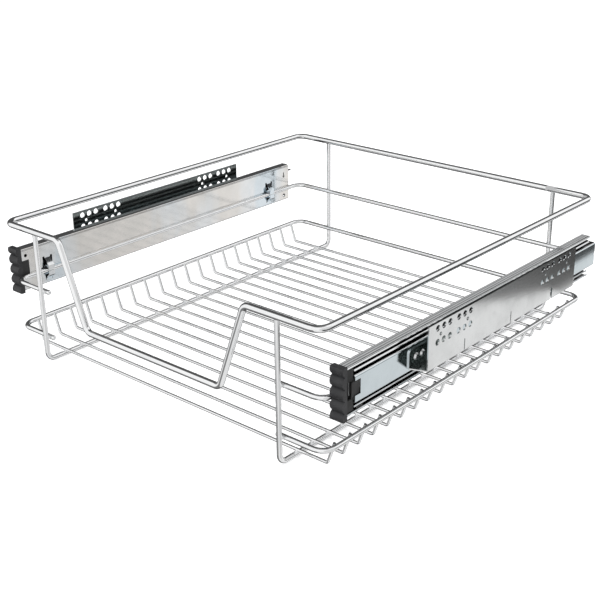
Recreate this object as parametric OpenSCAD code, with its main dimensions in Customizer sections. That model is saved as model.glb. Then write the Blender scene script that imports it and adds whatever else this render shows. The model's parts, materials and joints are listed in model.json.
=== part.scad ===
// Pull-out wire basket for a kitchen cabinet, on two full-extension ball-bearing slides.
// Units are millimetres. +X is to the right, +Y into the cabinet and +Z up.
// The origin is on the floor under the middle of the basket, with the slides closed.
// Each slide has three members: the widest is fixed to the basket, the narrowest to the cabinet.

/* [Basket] */
// Width of the wire rings, centre line to centre line
basket_w = 407; // [360:1:460]
// Depth of the top rail, centre line to centre line
basket_d = 443; // [430:1:480]
// Height of the top rail's centre line above the lowest wire's centre line
basket_h = 136; // [125:1:180]
// Height of the middle ring above the lowest wire
middle_ring_h = 73.3; // [70:0.5:76]
// Height of the lower ring above the lowest wire
lower_ring_h = 24.2; // [18:0.5:36]
// Radius of the top rail's four corners, on the centre line
rail_corner_r = 11; // [8:1:30]
// Radius of the lower rings' corners, on the centre line
ring_corner_r = 13; // [9:0.5:20]
// Clear distance past the posts' middle plane where a ring's end stops
ring_end_overshoot = 5.5; // [3:0.5:12]

/* [Front dip] */
// Width of the front dip at the top, between its bends
dip_top_w = 243; // [220:1:280]
// Width of the front dip at its bottom bar, between its bends
dip_bottom_w = 178; // [140:1:200]
// Height of the dip's bottom bar above the lowest wire
dip_h = 50; // [40:1:70]
// Bend radius of the dip's four bends
dip_r = 8; // [6:0.5:14]

/* [Wires] */
// Diameter of the top rail's rod
rail_d = 6.4; // [5.4:0.1:7]
// Diameter of the ring wires
ring_d = 4.8; // [4.2:0.1:5.4]
// Diameter of the runner frames' wire
frame_d = 4.8; // [4.2:0.1:5.6]
// Diameter of the floor wires
floor_d = 2.9; // [2.4:0.1:3.6]
// Distance between the two runner frames
frame_spacing = 315.4; // [280:1:330]
// Bend radius of the runner frames, on the centre line
frame_r = 8; // [6:0.5:14]
// Number of floor wires
floor_count = 20; // [10:1:24]
// Pitch of the floor wires
floor_pitch = 20.8; // [12:0.05:21.2]
// How far the row of floor wires sits in front of the middle of the basket
floor_shift = 2; // [0:0.5:7]
// Bend radius of the floor wires, on the centre line
floor_r = 3; // [2.5:0.5:8]
// How far a floor wire's end leans outwards on its way up to the lower ring
floor_lean = 7; // [0:0.5:8]
// How far a floor wire's end stands above the lower ring's centre line
floor_end_h = 1.2; // [0:0.2:4]

/* [Slides] */
// Length of the widest and of the narrowest slide member
slide_len = 406; // [380:1:420]
// Height of the widest slide member
slide_h = 45; // [44:0.5:48]
// Thickness of a whole slide, from the basket's side to the cabinet's side
slide_t = 12.7; // [12.7:0.1:14]
// Height of the slide's middle above the middle ring that its clips hold
slide_above_ring = 6.7; // [4:0.1:8]
// Sheet thickness of the slide members
sheet_t = 1.2; // [1:0.05:1.25]
// Distance from the basket's middle to the middle of the widest member, towards the front
slide_shift = 4; // [2:0.5:6]
// How far the middle member's front stands back from the widest member's, closed
middle_setback = 11; // [10.8:0.1:12]
// How far the cabinet member's front stands back from the widest member's, closed
cabinet_setback = 10.6; // [10.2:0.1:12]
// Travel of the basket from closed to fully open
travel = 400; // [300:5:400]
// Diameter of the outer row's balls
outer_ball_d = 3.2; // [2.8:0.1:3.4]
// Diameter of the inner row's balls
inner_ball_d = 3.8; // [3.4:0.1:4]
// Number of balls in each row
ball_count = 8; // [4:1:9]
// Length of each ball cage
cage_len = 186; // [120:1:188]
// Thickness of a ball cage's web
cage_t = 0.6; // [0.4:0.05:0.65]

/* [End caps] */
// How far a cap's ribs stand off the end of its member
cap_depth = 6; // [5:0.5:11]
// Height of a cap
cap_h = 48.5; // [47:0.5:56]
// Width of a cap
cap_w = 13.6; // [13.2:0.2:16]
// Number of grip ribs on a cap
cap_ribs = 5; // [4:1:7]
// Radius of the cap's front corners
cap_corner_r = 1.6; // [0.5:0.1:2.5]
// Depth of the cap's plugs inside its member
plug_depth = 6; // [3:0.5:7]

/* [Stop tabs and bumpers] */
// Distance of the stop tab from the widest member's front end
tab_setback = 8.4; // [7.5:0.1:8.6]
// Height of the stop tab
tab_h = 16; // [12:0.5:17]
// How far the stop tab stands out from the member's basket side
tab_reach = 7.7; // [6.5:0.1:8.2]
// Height of the bumper's rubber block
bumper_h = 19.2; // [18.8:0.1:20.4]
// Height of the bumper's nose
nose_h = 13; // [8:0.5:14]
// How far the nose reaches into the cabinet member's notch
nose_depth = 6.7; // [5:0.1:8]

/* [Wire clips] */
// Width of a clip tongue punched from the widest member
clip_w = 9; // [6:0.5:11]
// Distance of the front clip from the member's front end
front_clip_y = 31; // [28:0.5:60]
// Distance of the rear clip from the member's rear end
rear_clip_y = 37; // [28:0.5:60]
// Height of a clip's window
clip_window_h = 12; // [8:0.5:13]

/* [Cabinet brackets] */
// Clear distance from a slide's outer face to the cabinet's side
standoff = 16.3; // [11:0.1:20]
// Sheet thickness of a bracket
plate_t = 1.2; // [1:0.1:1.4]
// Height of a bracket's plate
plate_h = 41.5; // [38:0.5:46]
// Height of the plate's top edge above the slide's middle
plate_top_h = 32.4; // [28:0.2:35]
// Margin from the first holes to the plate's end
plate_margin = 13; // [9:0.5:16]
// Distance of the first holes from the cabinet member's front end
first_hole_y = 91; // [86:1:104]
// Distance between a front hole and the same rear hole
group_spacing = 176; // [160:1:192]
// Distance between the two halves of a hole group: the cabinet hole grid
hole_grid = 32; // [30:0.5:34]
// Pitch of the three holes side by side
hole_pitch = 9.2; // [8.4:0.1:9.6]
// Distance between the upper and the lower hole row
row_spacing = 13; // [12:0.5:14]
// Depth of the upper hole row under the plate's top edge
row_drop = 5; // [3.9:0.1:5.5]
// Diameter of the fixing holes
fixing_d = 6; // [5:0.1:6.4]
// Diameter of the small locating holes
locating_d = 3.5; // [3:0.1:4]
// Height of a bracket's inner leg
leg_h = 17.5; // [16:0.5:21]
// Length of the front leg
front_leg_len = 62; // [60:1:80]
// Length of the rear leg
rear_leg_len = 75; // [60:1:80]
// How far a front leg runs ahead of the plate
leg_lead = 6.2; // [0:0.2:12]
// Radius of the legs' upper corners
leg_corner_r = 3; // [1:0.5:4]
// Distance of the rear leg from the plate's front end
rear_leg_y = 133; // [125:1:140]
// Diameter of a rivet's shank
rivet_d = 4; // [3:0.1:5]
// Diameter of a rivet's head
rivet_head_d = 7; // [6:0.1:7.6]

/* [Hidden] */
SIDES = ["left", "right"];
SLIDE_PARTS = [
    "basket_member", "end_cap", "middle_member", "cabinet_member", "outer_cage", "outer_balls",
    "inner_cage", "inner_balls", "bumper", "bracket", "bracket_rivets"
];
$fn = 40;
ARC_STEPS = 6;
// Clearance of pieces that are welded or seated on each other
SEAT = 0.02;
// Step in radius where a sloped stretch of wire meets a bend, and how far it runs into the bend
HAIR = 0.02;
HAIR_RUN = 5 * HAIR;
// Clearance of pieces that slide past each other
SLIDE_GAP = 0.3;
// Clearance of a ball in its race
RACE_GAP = 0.1;
// How far a cutting piece runs past the face that it cuts
CUT = 1;
CHROME = [0.86, 0.87, 0.88];
ZINC = [0.74, 0.77, 0.8];
PLASTIC = [0.09, 0.09, 0.1];

// Levels above the floor
floor_z = frame_d / 2;
rail_z = floor_z + basket_h;
middle_z = floor_z + middle_ring_h;
lower_z = floor_z + lower_ring_h;
dip_z = floor_z + dip_h;
floor_wire_z = frame_d + SEAT + floor_d / 2;
slide_z = middle_z + slide_above_ring;

// Places of the wires
half_w = basket_w / 2;
half_d = basket_d / 2;
ring_half_d = half_d - (frame_d + ring_d) / 2 - SEAT;
frame_x = frame_spacing / 2;
ring_end_x = frame_x - ring_end_overshoot;
// The leaning ends of the floor wires just touch the lower ring
end_angle = atan(floor_lean / (lower_z - floor_wire_z));
ring_inside_r = ring_corner_r - (ring_d + floor_d) / 2 / cos(end_angle) - SEAT;
floor_first_y = -floor_shift - floor_pitch * (floor_count - 1) / 2;

// The slide's section, measured outwards from its basket side (u) and up from its middle (z)
slide_x = half_w + ring_d / 2 + 2 * SEAT;
outer_flange_z = slide_h / 2 - sheet_t / 2;
outer_ball_z = slide_h / 2 - sheet_t - RACE_GAP - outer_ball_d / 2;
middle_flange_z = outer_ball_z - outer_ball_d / 2 - RACE_GAP - sheet_t / 2;
inner_ball_z = middle_flange_z - sheet_t / 2 - RACE_GAP - inner_ball_d / 2;
inner_flange_z = inner_ball_z - inner_ball_d / 2 - RACE_GAP - sheet_t / 2;
outer_race_r = outer_ball_d / 2 + RACE_GAP + sheet_t / 2;
inner_race_r = inner_ball_d / 2 + RACE_GAP + sheet_t / 2;
// A race's lip ends at this angle above its balls' middles
lip_angle = 22;
lip_inset = 0.6;
row_shift = 0.5;
outer_ball_u = slide_t - lip_inset - sheet_t / 2 - outer_race_r;
inner_ball_u = outer_ball_u - row_shift;
middle_web_u = sheet_t + 2 * SLIDE_GAP + cage_t + sheet_t / 2;
cabinet_web_u = slide_t - sheet_t / 2;
bend_r = 2;
flange_r = 1.4;

// Places of the slide members along Y, closed
basket_front_y = -slide_shift - slide_len / 2;
basket_rear_y = basket_front_y + slide_len;
middle_front_y = basket_front_y + middle_setback;
rear_setback = 1;
middle_len = slide_len - middle_setback - rear_setback;
cabinet_front_y = basket_front_y + cabinet_setback;
cabinet_rear_y = cabinet_front_y + slide_len;
// A cage runs a quarter of the travel against each member, and ends just inside their fronts
cage_inset = 1;
outer_cage_y = middle_front_y + travel / 4 + cage_inset;
inner_cage_y = cabinet_front_y + travel / 4 + cage_inset;

// Places of the bracket
leg_x = slide_x + slide_t + SEAT;
wall_x = slide_x + slide_t + standoff;
plate_x = wall_x - plate_t;
plate_top = slide_z + plate_top_h;
plate_bottom = plate_top - plate_h;
hole_y = cabinet_front_y + first_hole_y;
plate_y = hole_y - plate_margin;
plate_len = group_spacing + hole_grid + 2 * hole_pitch + 2 * plate_margin;
leg_front_y = plate_y - leg_lead;
rear_leg_front_y = plate_y + rear_leg_y;
rivet_offsets = [10, 19];
rivet_h = 0.46 * leg_h;
rivet_z = plate_bottom + plate_t + rivet_h;

// The notch at the widest member's front end, from which the stop tab is bent
notch_low = -tab_h / 2;
notch_high = tab_h / 2 + 2;
tab_y = basket_front_y + tab_setback;
// The notch at the cabinet member's front end, which the bumper's nose fills
nose_mid = 1.25;
nose_end_y = cabinet_front_y + nose_depth;

function floor_wire_name(i) = str("floor_wire_", i < 10 ? "0" : "", i);
// Where a floor wire at y meets the inside of the lower ring, also in its corners
function floor_end_x(y) =
    let (past = max(0, abs(y) - (ring_half_d - ring_corner_r)))
    half_w - ring_corner_r + sqrt(max(0, ring_inside_r * ring_inside_r - past * past));
function unit(v) = v / norm(v);
function dot(a, b) = a * b;
function arc(c, r, from, to, steps = ARC_STEPS) =
    [for (i = [0:steps]) let (a = from + (to - from) * i / steps) c + r * [cos(a), sin(a)]];
function flip(path) = [for (i = [len(path) - 1:-1:0]) [path[i][0], -path[i][1]]];
// The outward step at point i of an open line, so that the sheet keeps its thickness round a bend
function step_at(path, i) =
    let (
        before = unit(path[max(i, 1)] - path[max(i, 1) - 1]),
        after = unit(path[min(i, len(path) - 2) + 1] - path[min(i, len(path) - 2)]),
        middle = unit(before + after)
    )
    [-middle[1], middle[0]] / dot(middle, before);
// The outline of a bent sheet whose middle follows a line
function sheet_outline(path, t) = concat(
    [for (i = [0:len(path) - 1]) path[i] + step_at(path, i) * t / 2],
    [for (i = [len(path) - 1:-1:0]) path[i] - step_at(path, i) * t / 2]
);

// Puts its children at p, with their Z along direction z and their X along direction x
module aim(p, z, x) {
    y = cross(z, x);
    multmatrix([
        [x[0], y[0], z[0], p[0]],
        [x[1], y[1], z[1], p[1]],
        [x[2], y[2], z[2], p[2]],
        [0, 0, 0, 1]
    ]) children();
}

// Any direction square to v
function square_to(v) = unit(abs(v[0]) < 0.9 ? cross(v, [1, 0, 0]) : cross(v, [0, 1, 0]));

// A straight stretch of wire
module straight(a, b, d) {
    z = unit(b - a);
    aim(a, z, square_to(z)) cylinder(h = norm(b - a), d = d);
}

// How far a bend of radius r reaches along each leg of its corner
function reach(a, b, c, r) =
    let (turn = acos(max(-1, min(1, dot(unit(b - a), unit(c - b))))))
    r * tan(turn / 2);

// A bend between sloped stretches is a hair thicker than they are, so that they join firmly
function is_square(a, b, c) = abs(dot(unit(b - a), unit(c - b))) < 0.001;
function hair(a, b, c) = is_square(a, b, c) ? 0 : HAIR;
function hair_run(a, b, c) = is_square(a, b, c) ? 0 : HAIR_RUN;

// One bend of wire at corner b, on the way from a to c
module bend(a, b, c, r, d) {
    into = unit(b - a);
    out = unit(c - b);
    turn = acos(dot(into, out));
    inward = unit(out - dot(out, into) * into);
    start = b - reach(a, b, c, r) * into;
    aim(start + r * inward, cross(-inward, into), -inward)
        rotate_extrude(angle = turn) translate([r, 0]) circle(d = d + 2 * hair(a, b, c));
}

// Wire bent along points, with a bend radius for each corner
module bent_wire(points, radii, d) {
    last = len(points) - 1;
    for (i = [0:last - 1]) {
        a = points[i];
        b = points[i + 1];
        along = unit(b - a);
        cut_a = i == 0 ? 0 : reach(points[i - 1], a, b, radii[i - 1]) - hair_run(points[i - 1], a, b);
        cut_b = i == last - 1 ? 0 : reach(a, b, points[i + 2], radii[i]) - hair_run(a, b, points[i + 2]);
        straight(a + cut_a * along, b - cut_b * along, d);
    }
    for (i = [1:last - 1]) bend(points[i - 1], points[i], points[i + 1], radii[i - 1], d);
}

// A rounded tip on a wire's cut end
module wire_tip(p, along, d) {
    aim(p, along, square_to(along)) rotate_extrude(angle = 360)
        intersection() {
            circle(d = d);
            square(d);
        }
}

// Copies of a piece on the right side for "right", or mirrored to the left
module on_side(side) {
    mirror([side == "left" ? 1 : 0, 0, 0]) children();
}

// A section in the slide's own u and z, drawn out along Y
module slide_bar(y, length) {
    translate([slide_x, y + length, slide_z]) rotate([90, 0, 0]) linear_extrude(length) children();
}

// Wires

module top_rail() {
    corner = rail_corner_r;
    front = -half_d;
    // The loop starts and ends in the middle of the back
    points = [
        [0, half_d, rail_z], [-half_w, half_d, rail_z], [-half_w, front, rail_z],
        [-dip_top_w / 2, front, rail_z], [-dip_bottom_w / 2, front, dip_z],
        [dip_bottom_w / 2, front, dip_z], [dip_top_w / 2, front, rail_z],
        [half_w, front, rail_z], [half_w, half_d, rail_z], [0, half_d, rail_z]
    ];
    color(CHROME) bent_wire(points, [corner, corner, dip_r, dip_r, dip_r, dip_r, corner, corner], rail_d);
}

// A ring that runs round the back and sides and ends inside the front posts
module side_ring(z) {
    points = [
        [-ring_end_x, -ring_half_d, z], [-half_w, -ring_half_d, z], [-half_w, ring_half_d, z],
        [half_w, ring_half_d, z], [half_w, -ring_half_d, z], [ring_end_x, -ring_half_d, z]
    ];
    radii = [for (i = [1:4]) ring_corner_r];
    color(CHROME) {
        bent_wire(points, radii, ring_d);
        wire_tip(points[0], [1, 0, 0], ring_d);
        wire_tip(points[5], [-1, 0, 0], ring_d);
    }
}

module middle_ring() {
    side_ring(middle_z);
}

module lower_ring() {
    side_ring(lower_z);
}

// A frame of two posts and the runner that joins them under the floor wires
module runner_frame(side) {
    points = [
        [frame_x, -half_d, rail_z], [frame_x, -half_d, floor_z],
        [frame_x, half_d, floor_z], [frame_x, half_d, rail_z]
    ];
    color(CHROME) on_side(side) difference() {
        bent_wire(points, [frame_r, frame_r], frame_d);
        // The posts' ends are coped to the top rail
        for (y = [-half_d, half_d]) {
            translate([frame_x - frame_d, y, rail_z]) rotate([0, 90, 0])
                cylinder(h = 2 * frame_d, d = rail_d + 2 * SEAT);
            translate([frame_x, y, rail_z + rail_d])
                cube([2 * frame_d, 2 * frame_d, 2 * rail_d], center = true);
        }
    }
}

// A floor wire, whose ends are bent up and lean out against the inside of the lower ring
module floor_wire(i) {
    y = floor_first_y + (i - 1) * floor_pitch;
    tip_x = floor_end_x(y) + floor_end_h * tan(end_angle);
    bend_x = floor_end_x(y) - floor_lean;
    top = lower_z + floor_end_h;
    points = [
        [-tip_x, y, top], [-bend_x, y, floor_wire_z],
        [bend_x, y, floor_wire_z], [tip_x, y, top]
    ];
    color(CHROME) bent_wire(points, [floor_r, floor_r], floor_d);
}

// Slides

// Middle line of the widest member's section: two lips that hold the outer balls, and a web
function basket_half() = concat(
    arc([sheet_t / 2 + bend_r, outer_flange_z - bend_r], bend_r, 180, 90),
    arc([outer_ball_u, outer_flange_z - outer_race_r], outer_race_r, 90, lip_angle)
);

// Middle line of the middle member's section, whose lips hold the inner balls
function middle_half() = concat(
    arc([middle_web_u + bend_r, middle_flange_z - bend_r], bend_r, 180, 90),
    arc([inner_ball_u, middle_flange_z - inner_race_r], inner_race_r, 90, lip_angle)
);

// Middle line of the cabinet member's section, which is open towards the basket
function cabinet_half() =
    let (rim_u = inner_ball_u - inner_race_r, flare = [-0.9, 0.7])
    concat(
        arc([cabinet_web_u - flange_r, inner_flange_z - flange_r], flange_r, 0, 90),
        [[rim_u + 0.3, inner_flange_z], [rim_u + 0.3, inner_flange_z] + flare]
    );

module member(half_line, y, length) {
    slide_bar(y, length) polygon(sheet_outline(concat(flip(half_line), half_line), sheet_t));
}

// The windows that a clip's two tongues leave in the web, above and below the middle ring
module clip_windows(y) {
    side_gap = 1.5;
    sill = 2;
    lower_window_h = 6;
    lower_drop = 9;
    above = middle_z + ring_d / 2 + sill;
    translate([slide_x - CUT, y - clip_w / 2 - side_gap, above])
        cube([sheet_t + 2 * CUT, clip_w + 2 * side_gap, clip_window_h - sill]);
    translate([slide_x - CUT, y - clip_w / 2, middle_z - ring_d / 2 - lower_drop])
        cube([sheet_t + 2 * CUT, clip_w, lower_window_h]);
}

// Two tongues that leave the web and close over the middle ring from above and below
module clip_tongues(y) {
    web = sheet_t / 2;
    over = -ring_d - 4 * SEAT - sheet_t / 2;
    ring = middle_z - slide_z;
    wire_r = ring_d / 2;
    tips_apart = 1.2;
    root = ring + wire_r + clip_window_h;
    foot = ring - wire_r - 9.5;
    width = clip_w - 2;
    upper = [
        [web, root + 0.5], [web, root - 2], [over, ring + wire_r + 3], [over, ring + tips_apart / 2]
    ];
    lower = [
        [web, foot], [web, foot + 1.5], [over, ring - wire_r - 2.5], [over, ring - tips_apart / 2]
    ];
    for (path = [upper, lower])
        translate([slide_x, y + width / 2, slide_z]) rotate([90, 0, 0])
            linear_extrude(width) polygon(sheet_outline(path, sheet_t));
}

// A round hole through the widest member's web
module web_hole(y, z, d) {
    translate([slide_x - CUT, y, slide_z + z]) rotate([0, 90, 0]) cylinder(h = sheet_t + 2 * CUT, d = d);
}

// The punched location holes at the widest member's two ends: round, keyhole and small
module punched_holes() {
    rear = basket_rear_y - 9;
    low_edge = 6.5;
    high_edge = 7.5;
    key_z = 9;
    key_slot = [1.4, 5];
    web_hole(rear, low_edge - slide_h / 2, 4.5);
    web_hole(rear, key_z, 3.2);
    translate([slide_x - CUT, rear - key_slot[0] / 2, slide_z + key_z])
        cube([sheet_t + 2 * CUT, key_slot[0], key_slot[1]]);
    web_hole(basket_front_y + 5, slide_h / 2 - high_edge, 3.6);
}

// The member that is fixed to the basket and moves all the way
module basket_member(side) {
    clips = [basket_front_y + front_clip_y, basket_rear_y - rear_clip_y];
    color(ZINC) on_side(side) {
        difference() {
            member(basket_half(), basket_front_y, slide_len);
            for (y = clips) clip_windows(y);
            // The notch from which the stop tab is bent
            translate([slide_x - CUT, basket_front_y - CUT, slide_z + notch_low])
                cube([sheet_t + 2 * CUT, tab_setback + CUT, notch_high - notch_low]);
            punched_holes();
        }
        for (y = clips) clip_tongues(y);
        translate([slide_x, tab_y, slide_z - tab_h / 2]) cube([tab_reach, sheet_t, tab_h]);
    }
}

// The outline of a cap from the side: ribs on a backing plate, with rounded front corners
module cap_outline() {
    edge = 2.7;
    rib_pitch = (cap_h - 2 * edge) / (cap_ribs - 1);
    rib_r = 0.56 * rib_pitch;
    front = basket_front_y - cap_depth;
    r = cap_corner_r;
    intersection() {
        union() {
            for (i = [0:cap_ribs - 1])
                translate([front + rib_r, (i - (cap_ribs - 1) / 2) * rib_pitch]) circle(rib_r);
            translate([front + rib_r / 2, -cap_h / 2]) square([cap_depth - rib_r / 2 - SEAT, cap_h]);
        }
        union() {
            for (z = [-cap_h / 2 + r, cap_h / 2 - r]) translate([front + r, z]) circle(r);
            translate([front, -cap_h / 2 + r]) square([cap_depth - SEAT, cap_h - 2 * r]);
            translate([front + r, -cap_h / 2]) square([cap_depth - r - SEAT, cap_h]);
        }
    }
}

// The cap on the widest member's front end, with ribs to grip and two plugs
module end_cap(side) {
    left = slide_x - (cap_w - slide_t) / 2;
    plug_w = 5.4;
    plug_low = bumper_h / 2 + SLIDE_GAP;
    plug_high = outer_flange_z - sheet_t / 2 - SLIDE_GAP;
    color(PLASTIC) on_side(side) {
        difference() {
            translate([left, 0, slide_z]) rotate([90, 0, 90]) linear_extrude(cap_w) cap_outline();
            // Room for the middle ring, which passes the cap's basket side
            translate([half_w, basket_front_y - cap_depth - CUT, middle_z]) rotate([-90, 0, 0])
                cylinder(h = cap_depth + 2 * CUT, d = ring_d + 2 * SLIDE_GAP);
        }
        for (z = [plug_low, -plug_high])
            translate([slide_x + sheet_t + bend_r / 2, basket_front_y - CUT, slide_z + z])
                cube([plug_w, plug_depth + CUT, plug_high - plug_low]);
    }
}

// The rubber bumper round the stop tab; its nose rests in the cabinet member's notch when closed
module bumper(side) {
    front = basket_front_y;
    low = -bumper_h / 2;
    // The block covers the tab's end, and its rear half stands behind the tab
    cover = 0.9;
    block_u = tab_reach + cover;
    rear_y = tab_y + sheet_t + 4;
    step_u = middle_web_u + 1.2;
    inside_u = cabinet_web_u - sheet_t / 2 - SLIDE_GAP;
    arm_w = 3.1;
    arm_z = middle_flange_z + sheet_t / 2 + 1;
    arm_len = min(middle_setback, cabinet_setback) - SLIDE_GAP;
    nose_u = slide_t - 0.1;
    nose_low = nose_mid - nose_h / 2;
    nose_front_y = tab_y - 2.6;
    nose_slant = 1.2;
    pocket_front = tab_y - SEAT;
    pocket_rear = tab_y + sheet_t + SEAT;
    clear_u = slide_t + CUT;
    color(PLASTIC) on_side(side) translate([slide_x, 0, slide_z]) difference() {
        union() {
            // The block ahead of the tab, and the pad that fills the member's notch
            translate([sheet_t + SEAT, front, low]) cube([block_u - sheet_t, tab_setback - SEAT, bumper_h]);
            translate([0, front, notch_low + SEAT])
                cube([sheet_t + CUT, tab_setback - SEAT, notch_high - notch_low - 2 * SEAT]);
            // The sleeve round the tab and the block behind it
            translate([step_u, front, low]) cube([block_u - step_u, rear_y - front, bumper_h]);
            translate([step_u, pocket_rear, low]) cube([inside_u - step_u, rear_y - pocket_rear, bumper_h]);
            // Arms that end just ahead of the other members' ends
            translate([tab_reach, front, -arm_z]) cube([arm_w, arm_len, 2 * arm_z]);
            translate([tab_reach, nose_front_y, nose_low])
                cube([nose_u - tab_reach, nose_end_y - nose_front_y, nose_h]);
        }
        // The tab's slot, open towards the cabinet with the nose slanted behind it
        translate([0, 0, -tab_h / 2 - SEAT]) linear_extrude(tab_h + 2 * SEAT) polygon([
            [-CUT, pocket_front], [tab_reach, pocket_front], [tab_reach, front - CUT],
            [clear_u, front - CUT], [clear_u, nose_front_y - nose_slant], [nose_u, nose_front_y],
            [tab_reach + 1, pocket_rear], [-CUT, pocket_rear]
        ]);
        // The lower half of the nose's outer face steps back
        translate([nose_u - CUT, tab_y, nose_mid - nose_h]) cube([2 * CUT, 2 * nose_depth, nose_h - 1]);
    }
}

// The middle member, which moves half as far as the basket
module middle_member(side) {
    access_d = 8;
    access_inset = 40;
    color(ZINC) on_side(side) difference() {
        member(middle_half(), middle_front_y, middle_len);
        for (y = [middle_front_y + access_inset, middle_front_y + middle_len - access_inset])
            translate([slide_x, y, slide_z]) rotate([0, 90, 0]) cylinder(h = slide_t / 2, d = access_d);
    }
}

// The member that is riveted to the bracket and stays with the cabinet
module cabinet_member(side) {
    inside_x = slide_x + slide_t - 2 * sheet_t;
    notch_h = nose_h + 2 * SLIDE_GAP;
    end_notch_r = 1.2;
    color(ZINC) on_side(side) difference() {
        member(cabinet_half(), cabinet_front_y, slide_len);
        translate([inside_x, cabinet_front_y - CUT, slide_z + nose_mid - notch_h / 2])
            cube([3 * sheet_t, nose_depth + SLIDE_GAP + CUT, notch_h]);
        translate([inside_x, cabinet_rear_y, slide_z]) rotate([0, 90, 0])
            cylinder(h = 3 * sheet_t, r = end_notch_r);
        for (y = rivet_places())
            translate([inside_x, y, rivet_z]) rotate([0, 90, 0])
                cylinder(h = 3 * sheet_t, d = rivet_d + 2 * SEAT);
    }
}

// The cage that carries the outer balls: a thin web between two ball strips
module outer_cage(side) {
    web_u = sheet_t + SLIDE_GAP;
    low = middle_flange_z + sheet_t / 2 + SLIDE_GAP;
    high = outer_flange_z - sheet_t / 2 - SLIDE_GAP;
    shoulder = low + 1.2;
    strip_u = web_u + cage_t + 0.4;
    top_u = outer_ball_u - 0.4;
    reach_u = outer_ball_u + outer_ball_d / 2 + 0.2;
    half = [
        [web_u, 0], [web_u, shoulder], [strip_u, shoulder], [strip_u, high], [top_u, high],
        [reach_u, outer_ball_z], [reach_u, low], [web_u + cage_t, low], [web_u + cage_t, 0]
    ];
    color(PLASTIC) on_side(side) difference() {
        slide_bar(outer_cage_y, cage_len) polygon(concat(half, flip(half)));
        ball_places(outer_cage_y, outer_ball_u, outer_ball_z) sphere(d = outer_ball_d + 2 * RACE_GAP);
    }
}

// The cage that carries the inner balls, bent back round the cabinet member's flanges
module inner_cage(side) {
    web_u = middle_web_u + sheet_t / 2 + SLIDE_GAP;
    low = inner_flange_z + sheet_t / 2 + SLIDE_GAP;
    high = middle_flange_z - sheet_t / 2 - SLIDE_GAP;
    reach_u = inner_ball_u + inner_ball_d / 2 - 0.3;
    strip_u = inner_ball_u - inner_ball_d / 2 - 0.1;
    arm_z = high - 1;
    bevel = bend_r / 2;
    half = [
        [web_u, 0], [web_u, high - bevel], [web_u + bevel, high], [inner_ball_u, high],
        [reach_u, inner_ball_z], [reach_u, low], [strip_u, low], [strip_u, arm_z],
        [web_u + cage_t, arm_z], [web_u + cage_t, 0]
    ];
    color(PLASTIC) on_side(side) difference() {
        slide_bar(inner_cage_y, cage_len) polygon(concat(half, flip(half)));
        ball_places(inner_cage_y, inner_ball_u, inner_ball_z) sphere(d = inner_ball_d + 2 * RACE_GAP);
    }
}

// The places of both rows of balls in a cage that starts at y
module ball_places(y, u, z) {
    pitch = cage_len / ball_count;
    for (i = [0:ball_count - 1], s = [1, -1])
        translate([slide_x + u, y + (i + 0.5) * pitch, slide_z + s * z]) children();
}

module outer_balls(side) {
    color(ZINC) on_side(side) ball_places(outer_cage_y, outer_ball_u, outer_ball_z) sphere(d = outer_ball_d);
}

module inner_balls(side) {
    color(ZINC) on_side(side) ball_places(inner_cage_y, inner_ball_u, inner_ball_z) sphere(d = inner_ball_d);
}

// Brackets

function rivet_places() = [
    for (start = [leg_front_y, rear_leg_front_y], offset = rivet_offsets) start + offset
];
// The Y of each column of fixing holes, counted from the plate's first
function hole_columns() = [
    for (group = [0, group_spacing], half = [0, hole_grid], i = [0:2]) hole_y + group + half + i * hole_pitch
];
function locating_columns() = [
    for (group = [0, group_spacing], half = [0.5 * hole_pitch, hole_grid + 1.5 * hole_pitch])
        hole_y + group + half
];

// A leg of the bracket: a flange at the plate's foot that turns up against the cabinet member
module leg(y, length, lead) {
    foot = [
        [leg_x, y], [leg_x, y + length], [wall_x, y + length], [wall_x, y + lead]
    ];
    translate([0, 0, plate_bottom]) linear_extrude(plate_t) polygon(foot);
    r = leg_corner_r;
    translate([leg_x, y, plate_bottom]) rotate([90, 0, 90]) linear_extrude(plate_t) polygon(concat(
        [[0, 0], [length, 0]],
        arc([length - r, leg_h - r], r, 0, 90),
        arc([r, leg_h - r], r, 90, 180)
    ));
}

// The plate that is screwed to the cabinet's side, with two legs to the slide
module bracket(side) {
    slit_w = 1.2;
    slit_h = 12;
    tear_w = 3.2;
    tear_h = 11;
    through = plate_t + 2 * CUT;
    row_z = plate_top - row_drop;
    color(ZINC) on_side(side) difference() {
        union() {
            translate([plate_x, plate_y, plate_bottom]) cube([plate_t, plate_len, plate_h]);
            leg(leg_front_y, front_leg_len, leg_lead);
            leg(rear_leg_front_y, rear_leg_len, 0);
        }
        for (y = hole_columns(), row = [0, row_spacing])
            translate([plate_x - CUT, y, row_z - row]) rotate([0, 90, 0]) cylinder(h = through, d = fixing_d);
        for (y = locating_columns())
            translate([plate_x - CUT, y, row_z - row_spacing / 2]) rotate([0, 90, 0])
                cylinder(h = through, d = locating_d);
        // Relief slits where the legs' bends end, the last one widened to a teardrop
        for (y = [leg_front_y + front_leg_len, rear_leg_front_y])
            translate([plate_x - CUT, y - slit_w / 2, plate_bottom - CUT])
                cube([through, slit_w, slit_h + CUT]);
        translate([plate_x - CUT, rear_leg_front_y + rear_leg_len, plate_bottom]) {
            translate([0, -tear_w / 2, -CUT]) cube([through, tear_w, tear_h + CUT]);
            translate([0, 0, tear_h]) rotate([0, 90, 0]) cylinder(h = through, d = tear_w);
        }
        for (y = rivet_places())
            translate([leg_x - CUT, y, rivet_z]) rotate([0, 90, 0])
                cylinder(h = through, d = rivet_d + 2 * SEAT);
    }
}

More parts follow.
